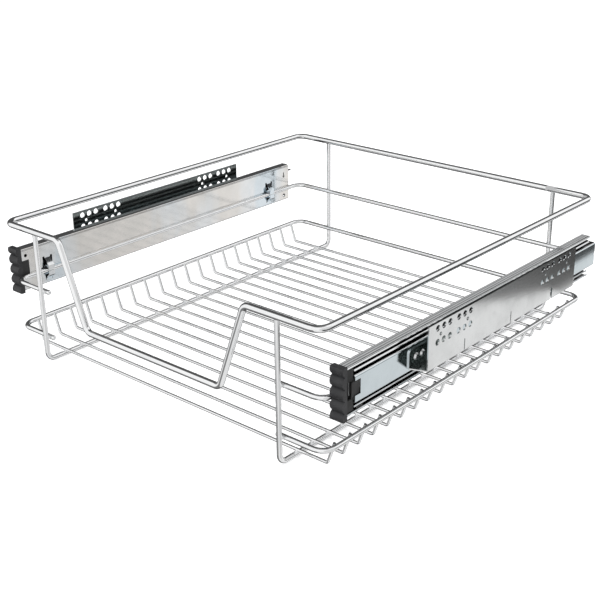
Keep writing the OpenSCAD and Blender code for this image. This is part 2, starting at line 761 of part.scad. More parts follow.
// The rivets that hold the legs to the cabinet member
module bracket_rivets(side) {
    tail_h = 0.6;
    head_h = 1.6;
    tail_x = slide_x + slide_t - sheet_t - SEAT - tail_h;
    head_x = leg_x + plate_t + SEAT;
    color(ZINC) on_side(side) for (y = rivet_places())
        translate([0, y, rivet_z]) rotate([0, 90, 0]) {
            translate([0, 0, tail_x]) cylinder(h = tail_h, d = rivet_head_d - 1);
            translate([0, 0, tail_x + tail_h]) cylinder(h = head_x - tail_x - tail_h, d = rivet_d);
            translate([0, 0, head_x])
                cylinder(h = head_h, d1 = rivet_head_d, d2 = rivet_head_d - 1.5 * head_h);
        }
}

top_rail();
middle_ring();
lower_ring();
runner_frame("left");  // runner_frame_left
runner_frame("right");  // runner_frame_right
for (i = [1:floor_count]) floor_wire(i);
for (side = SIDES) {
    basket_member(side);
    end_cap(side);
    middle_member(side);
    cabinet_member(side);
    outer_cage(side);
    outer_balls(side);
    inner_cage(side);
    inner_balls(side);
    bumper(side);
    bracket(side);
    bracket_rivets(side);
}
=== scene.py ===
"""Looks of a pull-out wire basket for a kitchen cabinet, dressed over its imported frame.

Lengths are metres unless a name says otherwise. +X is to the right, +Y into the cabinet and +Z up.
The basket pulls out along -Y on two ball-bearing slides, whose brackets are screwed to the cabinet.
"""

import json
import logging
import math
from collections.abc import Callable, Iterable
from dataclasses import dataclass, field
from enum import Enum
from functools import cache
from typing import Any

import bpy
from mathutils import Euler, Matrix, Vector


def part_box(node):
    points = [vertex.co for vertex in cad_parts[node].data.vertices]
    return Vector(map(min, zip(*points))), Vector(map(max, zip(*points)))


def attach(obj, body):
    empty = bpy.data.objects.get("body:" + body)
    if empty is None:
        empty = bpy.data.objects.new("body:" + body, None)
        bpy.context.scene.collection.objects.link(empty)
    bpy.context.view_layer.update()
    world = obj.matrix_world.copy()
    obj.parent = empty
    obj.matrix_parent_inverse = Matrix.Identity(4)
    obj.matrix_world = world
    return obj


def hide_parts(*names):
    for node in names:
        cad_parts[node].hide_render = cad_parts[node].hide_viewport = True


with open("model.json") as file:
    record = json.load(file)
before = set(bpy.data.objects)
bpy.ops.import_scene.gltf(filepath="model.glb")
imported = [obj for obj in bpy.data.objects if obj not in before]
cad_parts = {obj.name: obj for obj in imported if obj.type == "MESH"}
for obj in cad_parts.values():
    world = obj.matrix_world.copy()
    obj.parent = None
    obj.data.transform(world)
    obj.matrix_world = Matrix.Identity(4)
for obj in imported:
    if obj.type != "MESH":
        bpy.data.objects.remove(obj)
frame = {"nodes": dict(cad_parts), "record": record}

log = logging.getLogger("basket")

Colour = tuple[float, float, float]
Cover = tuple[float, float, float, float]
Point = tuple[float, float, float]
Pair = tuple[float, float]
Stops = tuple[Pair, ...]
Socket = bpy.types.NodeSocket


class Side(Enum):
    """The two sides of the basket, with the sign of their X."""

    LEFT = -1
    RIGHT = 1

    @property
    def word(self) -> str:
        """The side's name as the nodes and bodies spell it."""
        return self.name.lower()


class Slot(Enum):
    """The record's material slots."""

    WIRE = "chrome_wire"
    MEMBER = "member_zinc"
    BRACKET = "bracket_zinc"
    RIVET = "rivet_steel"
    BALL = "ball_steel"
    CAGE = "cage_plastic"
    CAP = "cap_plastic"
    BUMPER = "bumper_rubber"


# --------------------------------------------------------------------------- tools


def rgba(colour: Colour) -> Cover:
    """A colour with full cover."""
    return (*colour, 1.0)


def grey_of(level: float) -> Cover:
    """A grey with full cover."""
    return rgba((level, level, level))


class Tree:
    """A node tree with short calls that add, set and join nodes."""

    def __init__(self, tree: bpy.types.NodeTree, clear: bool = False) -> None:
        """Take hold of a tree.

        Args:
            tree: The node tree.
            clear: Whether its nodes go first.
        """
        self.tree = tree
        if clear:
            tree.nodes.clear()

    def join(self, source: Socket, target: Socket) -> None:
        """Link two sockets."""
        self.tree.links.new(source, target)

    def add(self, kind: str, inputs: dict | None = None, **settings: Any) -> bpy.types.Node:
        """Add a node.

        Args:
            kind: The node's type.
            inputs: A value or a source socket for each input, by name or number.
            **settings: The node's own settings.

        Returns:
            The new node.
        """
        node = self.tree.nodes.new(kind)
        for name, value in settings.items():
            setattr(node, name, value)
        for key, value in (inputs or {}).items():
            if isinstance(value, Socket):
                self.join(value, node.inputs[key])
            else:
                node.inputs[key].default_value = value
        return node

    def place(self) -> Socket:
        """The Object coordinates."""
        return self.add("ShaderNodeTexCoord").outputs["Object"]

    def parts(self, vector: Socket) -> tuple[Socket, Socket, Socket]:
        """Split a vector into its X, Y and Z."""
        node = self.add("ShaderNodeSeparateXYZ", {"Vector": vector})
        return node.outputs["X"], node.outputs["Y"], node.outputs["Z"]

    def number(self, how: str, *values: Socket | float) -> Socket:
        """Work a number out of others by one operation of the Math node."""
        return self.add("ShaderNodeMath", dict(enumerate(values)), operation=how).outputs[0]

    def times(self, first: Socket, second: Socket) -> Socket:
        """Multiply two values."""
        return self.number("MULTIPLY", first, second)

    def noise(
        self, place: Socket, scale: Socket | float, detail: float, roughness: float = 0.5
    ) -> Socket:
        """Add a noise.

        Args:
            place: Where it is read.
            scale: Its scale, as a value or a socket.
            detail: Its detail.
            roughness: How strong its finer detail is.

        Returns:
            The noise's socket.
        """
        values = {"Vector": place, "Scale": scale, "Detail": detail, "Roughness": roughness}
        return self.add("ShaderNodeTexNoise", values).outputs["Fac"]

    def ramp(self, source: Socket, stops: Stops) -> Socket:
        """Add a grey ramp.

        Args:
            source: The value that drives it.
            stops: Its places and grey levels, in order.

        Returns:
            The grey's socket.
        """
        node = self.add("ShaderNodeValToRGB", {"Fac": source})
        elements = node.color_ramp.elements
        while len(elements) < len(stops):
            elements.new(0.5)
        for element, (place, grey) in zip(elements, stops):
            element.position = place
            element.color = grey_of(grey)
        return node.outputs["Color"]

    def fade(self, source: Socket, start: float, whole: float) -> Socket:
        """Fade from 0 to 1 as a value goes from one number to another.

        Args:
            source: The value.
            start: Where the fade starts.
            whole: Where it reaches 1.

        Returns:
            The faded value's socket.
        """
        limits = {"Value": source, "From Min": start, "From Max": whole}
        return self.add("ShaderNodeMapRange", limits, interpolation_type="SMOOTHSTEP").outputs[0]

    def mix(self, amount: Socket, first: Socket | Cover, second: Socket | Cover) -> Socket:
        """Mix two colours.

        Args:
            amount: How much of the second.
            first: The first colour or socket.
            second: The second colour or socket.

        Returns:
            The mixed colour's socket.
        """
        values = {0: amount, 6: first, 7: second}
        return self.add("ShaderNodeMix", values, data_type="RGBA").outputs[2]

    def choose(self, amount: Socket, first: Socket, second: Socket) -> Socket:
        """Mix two shaders."""
        return self.add("ShaderNodeMixShader", {0: amount, 1: first, 2: second}).outputs[0]


class Bench:
    """Modelling steps that every piece uses."""

    # How near two corners of a node's loose triangles are when they are one
    LOOSE = 0.000002
    # The angle within which a node's faces are flat
    FLAT_DEG = 0.5
    # How near two corners of a finished piece are when they are one
    CLOSE = 0.0000005

    @staticmethod
    def clear() -> None:
        """Leave edit mode and deselect everything."""
        if bpy.context.object is not None and bpy.context.object.mode != "OBJECT":
            bpy.ops.object.mode_set(mode="OBJECT")
        bpy.ops.object.select_all(action="DESELECT")

    @staticmethod
    def take(*pieces: bpy.types.Object) -> None:
        """Select some pieces alone.

        Args:
            *pieces: The pieces, the first of which becomes the active one.
        """
        Bench.clear()
        for piece in pieces:
            piece.select_set(True)
        bpy.context.view_layer.objects.active = pieces[0]

    @staticmethod
    def edit(piece: bpy.types.Object, kind: str) -> None:
        """Open a piece in edit mode with nothing selected.

        Args:
            piece: The piece.
            kind: What is picked next: VERT or EDGE.
        """
        Bench.take(piece)
        bpy.ops.object.mode_set(mode="EDIT")
        bpy.ops.mesh.select_mode(type=kind)
        bpy.ops.mesh.select_all(action="DESELECT")

    @staticmethod
    def bevel_where(
        piece: bpy.types.Object,
        test: Callable[[Vector, Vector], bool],
        offset: float,
        segments: int,
    ) -> None:
        """Bevel the edges whose two ends pass a test.

        Args:
            piece: The piece.
            test: Takes an edge's two ends.
            offset: How far the bevel reaches on each side.
            segments: How many faces go round it.
        """
        Bench.edit(piece, "EDGE")
        bpy.ops.object.mode_set(mode="OBJECT")
        mesh = piece.data
        found = 0
        for edge in mesh.edges:
            first, second = (mesh.vertices[i].co for i in edge.vertices)
            edge.select = test(first, second)
            found += edge.select
        bpy.ops.object.mode_set(mode="EDIT")
        if found:
            bpy.ops.mesh.bevel(offset=offset, segments=segments)
        bpy.ops.object.mode_set(mode="OBJECT")

    @staticmethod
    def modify(piece: bpy.types.Object, kind: str, **settings: Any) -> None:
        """Add a modifier and apply it.

        Args:
            piece: The piece.
            kind: The modifier's type.
            **settings: The modifier's own settings.
        """
        Bench.take(piece)
        modifier = piece.modifiers.new(kind.lower(), kind)
        for name, value in settings.items():
            setattr(modifier, name, value)
        bpy.ops.object.modifier_apply(modifier=modifier.name)

    @staticmethod
    def round_edges(
        piece: bpy.types.Object, width: float, segments: int, sharp_deg: float = 40.0
    ) -> None:
        """Round every sharp edge of a piece.

        Args:
            piece: The piece.
            width: How wide the rounding is.
            segments: How many faces go round it.
            sharp_deg: The smallest angle that counts as sharp.
        """
        Bench.modify(
            piece,
            "BEVEL",
            width=width,
            segments=segments,
            limit_method="ANGLE",
            angle_limit=math.radians(sharp_deg),
            use_clamp_overlap=True,
        )

    @staticmethod
    def cut(piece: bpy.types.Object, tool: bpy.types.Object, how: str = "DIFFERENCE") -> None:
        """Use one piece on another and throw it away.

        Args:
            piece: The piece that stays.
            tool: The piece that cuts it or is added to it.
            how: DIFFERENCE, UNION or INTERSECT.
        """
        Bench.modify(piece, "BOOLEAN", object=tool, operation=how, solver="EXACT")
        bpy.data.objects.remove(tool)

    @staticmethod
    def settle(piece: bpy.types.Object) -> None:
        """Put a piece's place into its mesh, so that its object sits at the origin."""
        Bench.take(piece)
        bpy.ops.object.transform_apply(location=True, rotation=True, scale=True)

    @staticmethod
    def block(name: str, low: Vector, high: Vector) -> bpy.types.Object:
        """Add a box between two corners.

        Args:
            name: Its name.
            low: Its lowest corner.
            high: Its highest corner.

        Returns:
            The box.
        """
        Bench.clear()
        bpy.ops.mesh.primitive_cube_add(size=1.0, location=(low + high) / 2)
        piece = bpy.context.active_object
        piece.name = name
        piece.scale = high - low
        Bench.settle(piece)
        return piece

    @staticmethod
    def rod(
        name: str, middle: Vector, axis: str, radius: float, length: float, sides: int = 32
    ) -> bpy.types.Object:
        """Add a round bar along X or Y.

        Args:
            name: Its name.
            middle: Its middle.
            axis: X or Y.
            radius: Its radius.
            length: Its length.
            sides: The number of its sides.

        Returns:
            The bar.
        """
        quarter = math.pi / 2
        turns = {"X": (0.0, quarter, 0.0), "Y": (quarter, 0.0, 0.0)}
        Bench.clear()
        bpy.ops.mesh.primitive_cylinder_add(
            vertices=sides, radius=radius, depth=length, location=middle, rotation=turns[axis]
        )
        piece = bpy.context.active_object
        piece.name = name
        Bench.settle(piece)
        return piece

    @staticmethod
    def copy_of(node: str, name: str) -> bpy.types.Object:
        """Copy a frame node's shape as one clean shell.

        Args:
            node: The node's name.
            name: The copy's name.

        Returns:
            The copy, with its flat faces whole.
        """
        piece = bpy.data.objects.new(name, frame["nodes"][node].data.copy())
        bpy.context.scene.collection.objects.link(piece)
        piece.data.materials.clear()
        Bench.edit(piece, "VERT")
        bpy.ops.mesh.select_all(action="SELECT")
        bpy.ops.mesh.customdata_custom_splitnormals_clear()
        bpy.ops.mesh.remove_doubles(threshold=Bench.LOOSE)
        bpy.ops.mesh.dissolve_limited(angle_limit=math.radians(Bench.FLAT_DEG))
        bpy.ops.object.mode_set(mode="OBJECT")
        return piece

    @staticmethod
    def copies(master: bpy.types.Object, name: str, places: list[Matrix]) -> bpy.types.Object:
        """Copy a model to many places and join the copies.

        Args:
            master: The model, which goes afterwards.
            name: The joined piece's name.
            places: Where each copy goes.

        Returns:
            The joined piece.
        """
        made = []
        for place in places:
            mesh = master.data.copy()
            mesh.transform(place)
            made.append(bpy.data.objects.new(name, mesh))
            bpy.context.scene.collection.objects.link(made[-1])
        Bench.take(*made)
        bpy.ops.object.join()
        bpy.data.objects.remove(master)
        return made[0]

    @staticmethod
    def finish(
        piece: bpy.types.Object,
        body: str,
        slot: Slot,
        finishes: "Finishes",
        replaced: Iterable[str] = (),
        smooth_deg: float = 35.0,
    ) -> None:
        """Close a piece up, shade it, dress it and hand it to its body.

        Args:
            piece: The piece.
            body: The body that it rides on.
            slot: Its material slot.
            finishes: The materials.
            replaced: The frame nodes that it stands for.
            smooth_deg: The sharpest angle that is shaded smooth.
        """
        Bench.edit(piece, "VERT")
        bpy.ops.mesh.select_all(action="SELECT")
        bpy.ops.mesh.remove_doubles(threshold=Bench.CLOSE)
        bpy.ops.mesh.normals_make_consistent(inside=False)
        bpy.ops.object.mode_set(mode="OBJECT")
        bpy.ops.object.shade_smooth_by_angle(angle=math.radians(smooth_deg))
        Bench.modify(piece, "WEIGHTED_NORMAL", mode="FACE_AREA", weight=100, keep_sharp=True)
        piece.data.materials.clear()
        piece.data.materials.append(finishes.made[slot])
        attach(piece, body)
        if replaced:
            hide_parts(*replaced)
        Bench.clear()
        log.info("%s: %d faces on %s", piece.name, len(piece.data.polygons), body)


# --------------------------------------------------------------------------- camera and studio


@dataclass(frozen=True)
class Viewpoint:
    """The camera: where it stands, how it is turned and what its lens takes in."""

    place: Point = (0.7131, -0.8217, 0.4963)
    yaw_deg: float = 39.679
    pitch_deg: float = 23.462
    focal_mm: float = 66.965
    sensor_mm: float = 36.0
    shift_x: float = -0.0533
    shift_y: float = 0.0204
    nearest: float = 0.01

    def build(self) -> None:
        """Make the camera the scene's own."""
        data = bpy.data.cameras.new("camera")
        data.lens = self.focal_mm
        data.sensor_width = self.sensor_mm
        data.shift_x = self.shift_x
        data.shift_y = self.shift_y
        data.clip_start = self.nearest
        camera = bpy.data.objects.new("camera", data)
        camera.location = self.place
        camera.rotation_euler = Euler(
            (math.radians(90.0 - self.pitch_deg), 0.0, math.radians(self.yaw_deg))
        )
        bpy.context.scene.collection.objects.link(camera)
        bpy.context.scene.camera = camera


@dataclass(frozen=True)
class Lamp:
    """A soft rectangular lamp, which mirrors don't show."""

    name: str
    place: Point
    aim: Point
    size: Pair
    watts: float

    def build(self) -> None:
        """Hang the lamp at its place, facing its aim."""
        data = bpy.data.lights.new(self.name, "AREA")
        data.shape = "RECTANGLE"
        data.size, data.size_y = self.size
        data.energy = self.watts
        lamp = bpy.data.objects.new(self.name, data)
        lamp.location = self.place
        way = Vector(self.aim) - Vector(self.place)
        lamp.rotation_euler = way.to_track_quat("-Z", "Y").to_euler()
        lamp.visible_camera = False
        lamp.visible_glossy = False
        bpy.context.scene.collection.objects.link(lamp)


def lay_card(name: str, corners: list[Point], shade: Callable[[Tree], Socket | Cover]) -> None:
    """Make a flat glowing card that only mirrors show.

    Args:
        name: Its name.
        corners: Its corners in order.
        shade: Gives its colour for its material's tree.
    """
    Bench.clear()
    mesh = bpy.data.meshes.new(name)
    mesh.from_pydata(corners, [], [tuple(range(len(corners)))])
    card = bpy.data.objects.new(name, mesh)
    bpy.context.scene.collection.objects.link(card)
    material = bpy.data.materials.new(name)
    material.use_nodes = True
    mesh.materials.append(material)
    tree = Tree(material.node_tree, clear=True)
    glow = tree.add("ShaderNodeEmission", {"Color": shade(tree), "Strength": 1.0})
    tree.add("ShaderNodeOutputMaterial", {"Surface": glow.outputs[0]})
    card.visible_camera = False
    card.visible_diffuse = False
    card.visible_shadow = False


@dataclass(frozen=True)
class Card:
    """A grey card that stands across X."""

    name: str
    x: float
    depths: Pair
    heights: Pair
    grey: float

    def build(self) -> None:
        """Stand the card at its place."""
        places = zip((0, 1, 1, 0), (0, 0, 1, 1))
        corners = [(self.x, self.depths[i], self.heights[j]) for i, j in places]
        lay_card(self.name, corners, lambda tree: grey_of(self.grey))


@dataclass(frozen=True)
class Studio:
    """A pale table in a bright room with soft lamps, and the things that only metal shows."""

    floor_size: float = 9.0
    floor_drop: float = 0.0002
    floor_colour: Colour = (0.93, 0.93, 0.93)
    floor_roughness: float = 0.6
    floor_glow: float = 0.42
    lamps: tuple[Lamp, ...] = (
        Lamp("lamp_over", (0.1, 0.0, 1.9), (0.0, 0.0, 0.0), (1.5, 1.5), 14.0),
        Lamp("lamp_left", (-1.7, -1.1, 1.3), (0.0, 0.0, 0.1), (1.2, 1.0), 9.0),
        Lamp("lamp_front", (1.6, -1.6, 1.5), (0.0, 0.0, 0.1), (1.0, 1.0), 6.0),
    )
    # The light of the room on what isn't a mirror
    light_colour: Colour = (0.97, 0.98, 1.0)
    light_strength: float = 0.62
    # Below, heights in the room run from straight down at 0 to straight up at 1, and the Xs and Ys
    # of the room are those of a direction. A fade goes from its first number to its second.
    room_levels: Stops = (
        (0.0, 0.8), (0.29, 0.84), (0.31, 0.87), (0.36, 0.97), (0.935, 1.0), (0.965, 0.35),
        (1.0, 0.3),
    )
    # The room's dark end, at the far left
    dark_x: Pair = (0.1, -0.08)
    dark_y: Pair = (-0.32, -0.12)
    dark_grey: float = 0.085
    # The dark floor on the left
    low_heights: Stops = ((0.24, 1.0), (0.31, 0.0))
    low_grey: float = 0.2
    # The dark band along the horizon at the far right
    band_x: Pair = (0.25, 0.4)
    band_y: Pair = (0.3, 0.5)
    band_heights: Stops = ((0.365, 0.0), (0.385, 1.0), (0.49, 1.0), (0.51, 0.0))
    band_grey: float = 0.08
    # The room's dimmer right side
    dim_x: Pair = (0.62, 0.78)
    dim_level: float = 0.74
    # The dark sheet that lies to the right of the basket: its outline, and its greys from Y to Y
    sheet_outline: tuple[Pair, ...] = (
        (0.378, 0.18), (0.36, 0.208), (0.347, 0.24), (0.334, 0.27), (0.321, 0.277), (0.32, 0.33),
        (0.325, 0.9), (0.95, 0.9), (0.95, -0.2), (0.55, 0.02),
    )
    sheet_height: float = 0.0001
    sheet_y: Pair = (0.2, 0.42)
    sheet_greys: Pair = (0.19, 0.07)
    # The pale strip that the right slide's top mirrors, and the dark flags that the rails mirror
    cards: tuple[Card, ...] = (
        Card("studio_strip", 0.15, (-0.19, 0.34), (0.134, 0.162), 0.56),
        Card("rail_flag_-1", -0.182, (-0.23, 0.3), (0.1156, 0.1354), 0.06),
        Card("rail_flag_1", 0.225, (-0.23, 0.3), (0.1156, 0.1354), 0.06),
    )

    def build(self) -> None:
        """Make the room, the floor, the lamps and what only mirrors show."""
        bpy.context.scene.view_settings.view_transform = "Standard"
        self._room()
        self._floor()
        for lamp in self.lamps:
            lamp.build()
        outline = [(x, y, self.sheet_height) for x, y in self.sheet_outline]
        lay_card("studio_sheet", outline, self._sheet_shade)
        for card in self.cards:
            card.build()

    def _room(self) -> None:
        """Give the world white for the camera, and for mirrors a bright room with dark parts."""
        world = bpy.data.worlds.new("room")
        bpy.context.scene.world = world
        world.use_nodes = True
        tree = Tree(world.node_tree, clear=True)
        ray = tree.add("ShaderNodeLightPath")
        x, y, z = tree.parts(tree.add("ShaderNodeTexCoord").outputs["Generated"])
        limits = {"Value": z, "From Min": -1.0, "From Max": 1.0}
        upright = tree.add("ShaderNodeMapRange", limits).outputs[0]
        side_light = tree.mix(tree.fade(x, *self.dim_x), grey_of(1.0), grey_of(self.dim_level))
        colour = tree.add(
            "ShaderNodeVectorMath",
            {0: tree.ramp(upright, self.room_levels), 1: side_light},
            operation="MULTIPLY",
        ).outputs[0]
        end = tree.fade(x, *self.dark_x)
        low = tree.times(end, tree.ramp(upright, self.low_heights))
        dark = tree.times(end, tree.fade(y, *self.dark_y))
        corner = tree.times(tree.fade(x, *self.band_x), tree.fade(y, *self.band_y))
        band = tree.times(corner, tree.ramp(upright, self.band_heights))
        for mask, grey in ((low, self.low_grey), (dark, self.dark_grey), (band, self.band_grey)):
            colour = tree.mix(mask, colour, grey_of(grey))
        seen, mirrored, light = (
            tree.add("ShaderNodeBackground", {"Color": shade, "Strength": strength}).outputs[0]
            for shade, strength in (
                (grey_of(1.0), 1.0), (colour, 1.0), (rgba(self.light_colour), self.light_strength)
            )
        )
        unseen = tree.choose(ray.outputs["Is Glossy Ray"], light, mirrored)
        surface = tree.choose(ray.outputs["Is Camera Ray"], unseen, seen)
        tree.add("ShaderNodeOutputWorld", {"Surface": surface})

    def _floor(self) -> None:
        """Lay the table top, white where nothing shades it."""
        Bench.clear()
        place = (0.0, 0.0, -self.floor_drop)
        bpy.ops.mesh.primitive_plane_add(size=self.floor_size, location=place)
        floor = bpy.context.active_object
        floor.name = "studio_floor"
        material = bpy.data.materials.new("studio_floor")
        material.use_nodes = True
        tree = Tree(material.node_tree, clear=True)
        ray = tree.add("ShaderNodeLightPath")
        values = {"Color": rgba(self.floor_colour), "Roughness": self.floor_roughness}
        matt = tree.add("ShaderNodeBsdfDiffuse", values).outputs[0]
        glow = tree.add("ShaderNodeEmission", {"Color": grey_of(1.0), "Strength": self.floor_glow})
        both = tree.add("ShaderNodeAddShader", {0: matt, 1: glow.outputs[0]}).outputs[0]
        shown = tree.number("MAXIMUM", ray.outputs["Is Camera Ray"], ray.outputs["Is Glossy Ray"])
        tree.add("ShaderNodeOutputMaterial", {"Surface": tree.choose(shown, matt, both)})
        floor.data.materials.append(material)
        floor.visible_glossy = False

    def _sheet_shade(self, tree: Tree) -> Socket:
        """Shade the dark sheet by its Y.

        Args:
            tree: Its material's tree.

        Returns:
            Its colour's socket.
        """
        _, depth, _ = tree.parts(tree.place())
        near, far = (grey_of(grey) for grey in self.sheet_greys)
        return tree.mix(tree.fade(depth, *self.sheet_y), near, far)


# --------------------------------------------------------------------------- finishes


class Effects:
    """The effects that several materials share, each a node group that is built once."""

    CLOUD_DETAIL = 5.0
    CLOUD_ROUGHNESS = 0.6
    CLOUD_STOPS: Stops = ((0.38, 0.0), (0.68, 1.0))
    LINE_SCALE = 900.0
    LINE_DETAIL = 4.0
    GRAIN_DETAIL = 3.0
    DUST_SCALE = 90.0
    DUST_DETAIL = 4.0
    DUST_STOPS: Stops = ((0.35, 0.0), (0.75, 1.0))
    # How much smoother and rougher the grain makes a moulded surface
    UNEVEN: Pair = (-0.06, 0.1)

    @staticmethod
    def _group(
        name: str, inputs: dict[str, str], outputs: dict[str, str]
    ) -> tuple[bpy.types.NodeTree, Tree, bpy.types.Node, bpy.types.Node]:
        """Start a group.

        Args:
            name: Its name.
            inputs: The kind of each input, by name.
            outputs: The kind of each output, by name.

        Returns:
            The group, its tree, and its input and output nodes.
        """
        group = bpy.data.node_groups.new(name, "ShaderNodeTree")
        for way, sockets in (("INPUT", inputs), ("OUTPUT", outputs)):
            for label, kind in sockets.items():
                group.interface.new_socket(name=label, in_out=way, socket_type=f"NodeSocket{kind}")
        tree = Tree(group)
        return group, tree, tree.add("NodeGroupInput"), tree.add("NodeGroupOutput")

    @staticmethod
    @cache
    def plating() -> bpy.types.NodeTree:
        """Cloudy plating with fine drawn lines, for every metal.

        Returns:
            The group.
        """
        inputs = {
            "Bright": "Color", "Dull": "Color", "Cloud Scale": "Float", "Roughness": "Float",
            "Haze": "Float", "Line Stretch": "Vector",
        }
        outputs = {"Color": "Color", "Roughness": "Float", "Lines": "Float"}
        group, tree, given, result = Effects._group("plating", inputs, outputs)
        place = tree.place()
        clouds = tree.noise(
            place, given.outputs["Cloud Scale"], Effects.CLOUD_DETAIL, Effects.CLOUD_ROUGHNESS
        )
        patches = tree.ramp(clouds, Effects.CLOUD_STOPS)
        colour = tree.mix(patches, given.outputs["Bright"], given.outputs["Dull"])
        tree.join(colour, result.inputs["Color"])
        smoothest = given.outputs["Roughness"]
        dullest = tree.number("ADD", smoothest, given.outputs["Haze"])
        spread = {"Value": clouds, "To Min": smoothest, "To Max": dullest}
        rough = tree.add("ShaderNodeMapRange", spread)
        tree.join(rough.outputs[0], result.inputs["Roughness"])
        stretch = {"Vector": place, "Scale": given.outputs["Line Stretch"]}
        drawn = tree.add("ShaderNodeMapping", stretch).outputs[0]
        lines = tree.noise(drawn, Effects.LINE_SCALE, Effects.LINE_DETAIL)
        tree.join(lines, result.inputs["Lines"])
        return group

    @staticmethod
    @cache
    def moulding() -> bpy.types.NodeTree:
        """Grain and a film of dust, for everything that is moulded.

        Returns:
            The group.
        """
        inputs = {"Clean": "Color", "Worn": "Color", "Grain Scale": "Float", "Roughness": "Float"}
        outputs = {"Color": "Color", "Roughness": "Float", "Grain": "Float"}
        group, tree, given, result = Effects._group("moulding", inputs, outputs)
        place = tree.place()
        grain = tree.noise(place, given.outputs["Grain Scale"], Effects.GRAIN_DETAIL)
        dust = tree.noise(place, Effects.DUST_SCALE, Effects.DUST_DETAIL)
        cover = tree.ramp(dust, Effects.DUST_STOPS)
        colour = tree.mix(cover, given.outputs["Clean"], given.outputs["Worn"])
        tree.join(colour, result.inputs["Color"])
        smoother, rougher = Effects.UNEVEN
        spread = {"Value": grain, "To Min": smoother, "To Max": rougher}
        uneven = tree.add("ShaderNodeMapRange", spread).outputs[0]
        rough = tree.number("ADD", given.outputs["Roughness"], uneven)
        tree.join(rough, result.inputs["Roughness"])
        tree.join(grain, result.inputs["Grain"])
        return group


@dataclass
class Skin:
    """What a material's surface is made of while its nodes are laid."""

    tree: Tree
    colour: Socket
    roughness: Socket
    height: Socket

    def place(self) -> tuple[Socket, Socket, Socket]:
        """The distance from the basket's middle plane, the depth and the height."""
        x, y, z = self.tree.parts(self.tree.place())
        return self.tree.number("ABSOLUTE", x), y, z

    def facing(self, axis: str) -> Socket:
        """How much the surface faces along an axis, either way.

        Args:
            axis: X, Y or Z.

        Returns:
            The mask's socket.
        """
        normal = self.tree.add("ShaderNodeNewGeometry").outputs["Normal"]
        parts = dict(zip("XYZ", self.tree.parts(normal)))
        return self.tree.number("ABSOLUTE", parts[axis])

    def away(self, value: Socket, middle: float) -> Socket:
        """How far a value is from a number."""
        return self.tree.number("ABSOLUTE", self.tree.number("SUBTRACT", value, middle))

    def near(self, value: Socket, middle: float, half: float, soft: float) -> Socket:
        """One where a value is close to a number.

        Args:
            value: The value.
            middle: The number.
            half: How far it may be away.
            soft: How much further the mask fades out.

        Returns:
            The mask's socket.
        """
        return self.tree.fade(self.away(value, middle), half + soft, half)

    def between(self, value: Socket, low: float, high: float, soft: float = 0.0003) -> Socket:
        """One where a value lies between two numbers.

        Args:
            value: The value.
            low: The lower number.
            high: The higher number.
            soft: How far the edges fade.

        Returns:
            The mask's socket.
        """
        rising = self.tree.fade(value, low, low + soft)
        return self.tree.times(rising, self.tree.fade(value, high, high - soft))

    def stain(self, mask: Socket, colour: Colour, roughness: float) -> None:
        """Cover the surface with another colour and roughness where a mask is.

        Args:
            mask: Where.
            colour: The new colour.
            roughness: The new roughness.
        """
        self.colour = self.tree.mix(mask, self.colour, rgba(colour))
        values = {0: mask, 2: self.roughness, 3: roughness}
        self.roughness = self.tree.add("ShaderNodeMix", values).outputs[0]

    def tint(self, mask: Socket, colour: Colour) -> None:
        """Multiply the surface's colour by another where a mask is.

        Args:
            mask: Where.
            colour: The other colour.
        """
        values = {0: mask, 6: self.colour, 7: rgba(colour)}
        mixed = self.tree.add("ShaderNodeMix", values, data_type="RGBA", blend_type="MULTIPLY")
        self.colour = mixed.outputs[2]


@dataclass(frozen=True, kw_only=True)
class Finish:
    """A surface: its two colours, its shine and how strong its fine relief is."""

    fresh: Colour
    worn: Colour
    roughness: float
    relief: float
    relief_height: float = 0.0002
    metallic: float = 0.0

    def effect(self) -> tuple[bpy.types.NodeTree, dict[str, Any]]:
        """The shared effect's group that lays this surface, and the values it is given."""
        raise NotImplementedError

    def mark(self, skin: Skin) -> None:
        """Add what this surface alone shows: nothing, unless it is a kind of its own."""

    def make(self, name: str) -> bpy.types.Material:
        """Build the material.

        Args:
            name: Its name.

        Returns:
            The material.
        """
        material = bpy.data.materials.new(name)
        material.use_nodes = True
        tree = Tree(material.node_tree)
        shader = material.node_tree.nodes["Principled BSDF"]
        group, values = self.effect()
        laid = tree.add("ShaderNodeGroup", node_tree=group)
        for label, value in values.items():
            laid.inputs[label].default_value = value
        skin = Skin(tree, *laid.outputs)
        self.mark(skin)
        tree.join(skin.colour, shader.inputs["Base Color"])
        tree.join(skin.roughness, shader.inputs["Roughness"])
        shader.inputs["Metallic"].default_value = self.metallic
        depths = {"Height": skin.height, "Strength": self.relief, "Distance": self.relief_height}
        bump = tree.add("ShaderNodeBump", depths)
        tree.join(bump.outputs["Normal"], shader.inputs["Normal"])
        return material


@dataclass(frozen=True, kw_only=True)
class MetalFinish(Finish):
    """A bright metal surface: cloudy plating and fine lines that are stretched along an axis."""

    haze: float
    line_stretch: Point = (1.0, 1.0, 1.0)
    cloud_scale: float = 30.0
    metallic: float = 1.0

    def effect(self) -> tuple[bpy.types.NodeTree, dict[str, Any]]:
        """Lay the surface by the shared plating.

        Returns:
            The plating's group, and the values it is given.
        """
        return Effects.plating(), {
            "Bright": rgba(self.fresh), "Dull": rgba(self.worn), "Cloud Scale": self.cloud_scale,
            "Roughness": self.roughness, "Haze": self.haze, "Line Stretch": self.line_stretch,
        }


